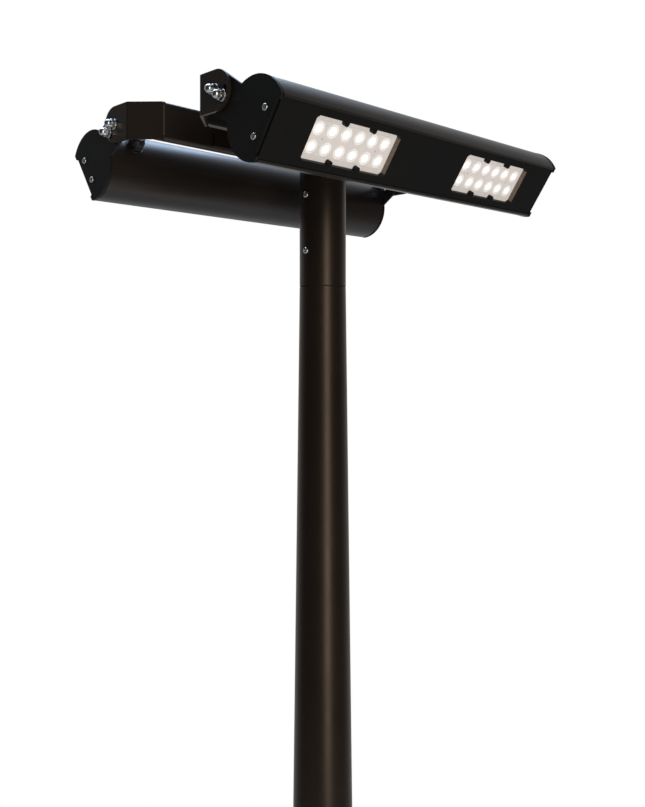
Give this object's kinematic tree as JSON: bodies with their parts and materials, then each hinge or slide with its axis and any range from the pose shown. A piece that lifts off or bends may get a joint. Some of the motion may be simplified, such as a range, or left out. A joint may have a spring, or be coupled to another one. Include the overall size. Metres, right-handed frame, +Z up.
{
  "type": "pole-top twin LED floodlight",
  "caption": "Outdoor area light: long LED lamp heads tilt in folded brackets on a crossarm, and the adapter turns on the tenon of a tapered pole with an anchor base.",
  "frame": {"origin": "centre of the base plate's underside, at ground level", "axes": "+Z up the pole, X along the lamp heads, -Y towards the front lamp head at rest"},
  "size_m": [0.6688, 0.492, 3.3115],
  "materials": {
    "bronze_coat": "satin dark bronze powder coat",
    "bracket_coat": "satin dark bronze powder coat",
    "housing_coat": "satin dark bronze powder coat on an extrusion",
    "plate_coat": "matte charcoal powder coat",
    "cover_coat": "matte black powder coat",
    "stainless": "polished",
    "bare_alloy": "bare",
    "gasket": "matte",
    "gland": "moulded",
    "lens": "clear moulding over a white board",
    "board": "white solder mask",
    "chip": "phosphor"
  },
  "bodies": {
    "pole": {"base_plate": "bronze_coat", "pole_shaft": "bronze_coat", "handhole_frame": "bronze_coat", "handhole_cover": "bronze_coat", "handhole_screws": "stainless", "pole_tenon": "bronze_coat", "joint_gasket": "gasket"},
    "yoke": {"adapter_sleeve": "bronze_coat", "adapter_channel": "bronze_coat", "adapter_screws": "stainless", "front_bracket": "bracket_coat", "rear_bracket": "bracket_coat", "bracket_bolts": "stainless", "bracket_nuts": "stainless"},
    "front_head": {"front_housing": "housing_coat", "front_end_plate_left": "plate_coat", "front_end_plate_right": "plate_coat", "front_end_gaskets": "gasket", "front_end_screws": "stainless", "front_cover": "cover_coat", "front_heat_spreader": "bare_alloy", "front_led_boards": "board", "front_led_chips": "chip", "front_lens_left": "lens", "front_lens_right": "lens", "front_driver": "bare_alloy", "front_driver_screws": "stainless", "front_gland_body": "gland", "front_gland_cap": "gland", "front_gland_nut": "gland", "front_pivot_bolts": "stainless", "front_pivot_washers": "stainless", "front_pivot_nuts": "stainless", "front_lock_bolts": "stainless", "front_lock_washers": "stainless", "front_lock_nuts": "stainless"},
    "rear_head": {"rear_housing": "housing_coat", "rear_end_plate_left": "plate_coat", "rear_end_plate_right": "plate_coat", "rear_end_gaskets": "gasket", "rear_end_screws": "stainless", "rear_cover": "cover_coat", "rear_heat_spreader": "bare_alloy", "rear_led_boards": "board", "rear_led_chips": "chip", "rear_lens_left": "lens", "rear_lens_right": "lens", "rear_driver": "bare_alloy", "rear_driver_screws": "stainless", "rear_gland_body": "gland", "rear_gland_cap": "gland", "rear_gland_nut": "gland", "rear_pivot_bolts": "stainless", "rear_pivot_washers": "stainless", "rear_pivot_nuts": "stainless", "rear_lock_bolts": "stainless", "rear_lock_washers": "stainless", "rear_lock_nuts": "stainless"}
  },
  "joints": [
    {"name": "head_swivel", "type": "hinge", "parent": "pole", "child": "yoke", "pos_m": [0, 0, 3.05], "axis": [0, 0, 1], "range_deg": [-180, 180]},
    {"name": "front_tilt", "type": "hinge", "parent": "yoke", "child": "front_head", "pos_m": [0, -0.1222, 3.284], "axis": [1, 0, 0], "range_deg": [-34, 21]},
    {"name": "rear_tilt", "type": "hinge", "parent": "yoke", "child": "rear_head", "pos_m": [0, 0.1222, 3.284], "axis": [-1, 0, 0], "range_deg": [-34, 21]}
  ]
}
